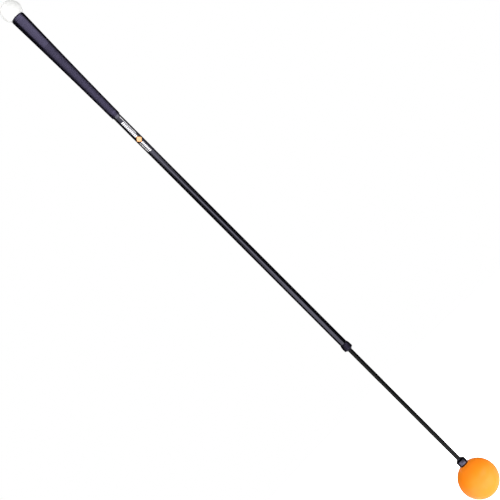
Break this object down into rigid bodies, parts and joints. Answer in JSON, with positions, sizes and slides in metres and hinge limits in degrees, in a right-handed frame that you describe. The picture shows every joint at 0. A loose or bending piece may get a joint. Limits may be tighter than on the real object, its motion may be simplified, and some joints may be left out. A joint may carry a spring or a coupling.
{
  "type": "swing trainer stick",
  "caption": "Golf swing trainer: tapered rubber grip with a counterweight ball on its butt, and a springy sleeved shaft ending in a weighted ball.",
  "frame": {"origin": "on the axis in the middle of the grip, where the hands hold it", "axes": "+Z along the shaft, from the weighted ball up to the butt of the grip; +X and +Y across it"},
  "size_m": [0.072, 0.072, 1.197],
  "materials": {
    "counterweight_white": "satin",
    "grip_rubber": "matte",
    "grip_tape": "matte",
    "label_film": "satin",
    "sleeve_black": "satin",
    "rod_black": "satin",
    "fitting_black": "satin",
    "bush_plastic": "matte",
    "alloy": "satin",
    "steel": "satin",
    "ball_orange": "satin"
  },
  "bodies": {
    "handle": {"counterweight_cover": "counterweight_white", "counterweight_core": "steel", "counterweight_stud": "steel", "butt_plug": "alloy", "grip": "grip_rubber", "grip_tape": "grip_tape", "grip_bush": "bush_plastic", "label_band": "label_film", "shaft_sleeve_1": "sleeve_black", "core_rod_1": "rod_black"},
    "upper_shaft_1": {"shaft_sleeve_2": "sleeve_black", "core_rod_2": "rod_black"},
    "upper_shaft_2": {"shaft_sleeve_3": "sleeve_black", "core_rod_3": "rod_black"},
    "upper_shaft_3": {"shaft_sleeve_4": "sleeve_black", "core_rod_4": "rod_black"},
    "collar_shaft": {"shaft_sleeve_5": "sleeve_black", "core_rod_5": "rod_black", "collar_bush": "bush_plastic", "end_collar": "fitting_black"},
    "lower_rod_1": {"core_rod_6": "rod_black"},
    "lower_rod_2": {"core_rod_7": "rod_black"},
    "lower_rod_3": {"core_rod_8": "rod_black"},
    "ball_end": {"core_rod_9": "rod_black", "ball_ferrule": "fitting_black", "rod_socket": "alloy", "socket_pin": "steel", "ball_weight": "steel", "ball_cover": "ball_orange"}
  },
  "joints": [
    {"name": "sleeve_bend_1", "type": "hinge", "parent": "handle", "child": "upper_shaft_1", "pos_m": [0, 0, -0.26517], "axis": [1, 0, 0], "range_deg": [-8, 8], "stiffness_Nm_per_rad": 35},
    {"name": "sleeve_bend_2", "type": "hinge", "parent": "upper_shaft_1", "child": "upper_shaft_2", "pos_m": [0, 0, -0.36952], "axis": [0, 1, 0], "range_deg": [-8, 8], "stiffness_Nm_per_rad": 35},
    {"name": "sleeve_bend_3", "type": "hinge", "parent": "upper_shaft_2", "child": "upper_shaft_3", "pos_m": [0, 0, -0.47387], "axis": [1, 0, 0], "range_deg": [-8, 8], "stiffness_Nm_per_rad": 35},
    {"name": "sleeve_bend_4", "type": "hinge", "parent": "upper_shaft_3", "child": "collar_shaft", "pos_m": [0, 0, -0.57822], "axis": [0, 1, 0], "range_deg": [-8, 8], "stiffness_Nm_per_rad": 35},
    {"name": "rod_bend_1", "type": "hinge", "parent": "collar_shaft", "child": "lower_rod_1", "pos_m": [0, 0, -0.7348], "axis": [1, 0, 0], "range_deg": [-10, 10], "stiffness_Nm_per_rad": 44},
    {"name": "rod_bend_2", "type": "hinge", "parent": "lower_rod_1", "child": "lower_rod_2", "pos_m": [0, 0, -0.7948], "axis": [0, 1, 0], "range_deg": [-10, 10], "stiffness_Nm_per_rad": 44},
    {"name": "rod_bend_3", "type": "hinge", "parent": "lower_rod_2", "child": "lower_rod_3", "pos_m": [0, 0, -0.8548], "axis": [1, 0, 0], "range_deg": [-10, 10], "stiffness_Nm_per_rad": 44},
    {"name": "rod_bend_4", "type": "hinge", "parent": "lower_rod_3", "child": "ball_end", "pos_m": [0, 0, -0.9148], "axis": [0, 1, 0], "range_deg": [-10, 10], "stiffness_Nm_per_rad": 44}
  ]
}
